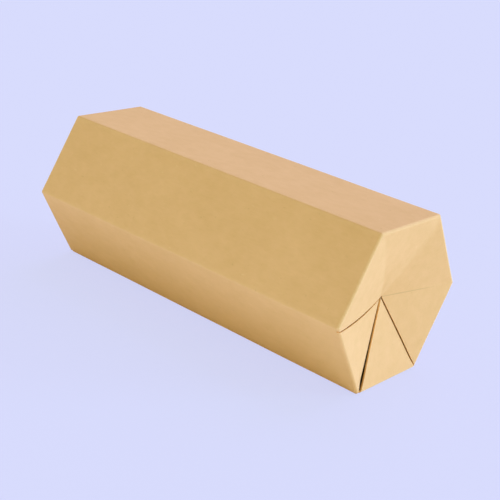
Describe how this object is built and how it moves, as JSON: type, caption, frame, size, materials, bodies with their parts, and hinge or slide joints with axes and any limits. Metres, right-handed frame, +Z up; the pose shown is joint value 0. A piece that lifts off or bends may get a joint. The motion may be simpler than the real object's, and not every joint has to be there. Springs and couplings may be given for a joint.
{
  "type": "hexagonal cardboard box",
  "caption": "Long hexagonal kraft cardboard box with recessed, folded pyramid ends whose free triangular flaps swing out to open it.",
  "frame": {"origin": "middle of the flat face that the box rests on, half-way along its length", "axes": "+X along the box towards the front end, +Z up, +Y across; the glued corner is at the lower left seen from +X"},
  "size_m": [0.225, 0.0996, 0.0866],
  "materials": {
    "kraft_board": "matte uncoated kraft"
  },
  "bodies": {
    "box": {"folded_box": "kraft_board"},
    "front_bottom_flap": {"front_bottom_flap": "kraft_board"},
    "front_side_flap": {"front_side_flap": "kraft_board"},
    "rear_bottom_flap": {"rear_bottom_flap": "kraft_board"},
    "rear_side_flap": {"rear_side_flap": "kraft_board"}
  },
  "joints": [
    {"name": "front_bottom_crease", "type": "hinge", "parent": "box", "child": "front_bottom_flap", "pos_m": [0.11291, 0, 0], "axis": [0, 1, 0], "range_deg": [0, 105]},
    {"name": "front_side_crease", "type": "hinge", "parent": "box", "child": "front_side_flap", "pos_m": [0.11291, -0.0375, 0.02165], "axis": [0, 0.5, -0.866], "range_deg": [0, 150]},
    {"name": "rear_bottom_crease", "type": "hinge", "parent": "box", "child": "rear_bottom_flap", "pos_m": [-0.11291, 0, 0], "axis": [0, -1, 0], "range_deg": [0, 105]},
    {"name": "rear_side_crease", "type": "hinge", "parent": "box", "child": "rear_side_flap", "pos_m": [-0.11291, -0.0375, 0.02165], "axis": [0, -0.5, 0.866], "range_deg": [0, 150]}
  ]
}
